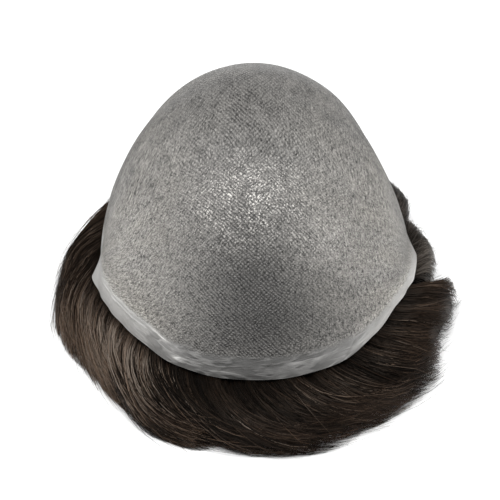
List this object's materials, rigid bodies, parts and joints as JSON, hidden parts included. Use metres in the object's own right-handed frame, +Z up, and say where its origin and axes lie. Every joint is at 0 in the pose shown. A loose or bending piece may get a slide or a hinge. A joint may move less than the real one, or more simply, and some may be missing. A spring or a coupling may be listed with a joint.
{
  "type": "toupee hairpiece turned inside out",
  "caption": "Turned-out toupee: a domed net and poly base with a clear band round its rim, over swirled dark hair that comes out from under it.",
  "frame": {"origin": "on the surface that the piece lies on, under the middle of its whole box", "axes": "+Z up to the crown of the turned-out base; +Y from the rim's flared near side to its far side; +X to the side with the hair tufts"},
  "size_m": [0.1548, 0.1836, 0.0865],
  "materials": {
    "skin": "fine grey diamond net sealed in thin glossy poly",
    "band": "clear soft poly, puckered, over the net's edge",
    "hair": "dark brown hair with a soft sheen"
  },
  "bodies": {
    "root": {"base_skin": "skin", "perimeter_band": "band", "hair_lining": "hair", "hair_left": "hair", "hair_near": "hair", "hair_right": "hair", "hair_right_tuft": "hair", "hair_far_right_tuft": "hair", "hair_far": "hair"}
  },
  "joints": []
}
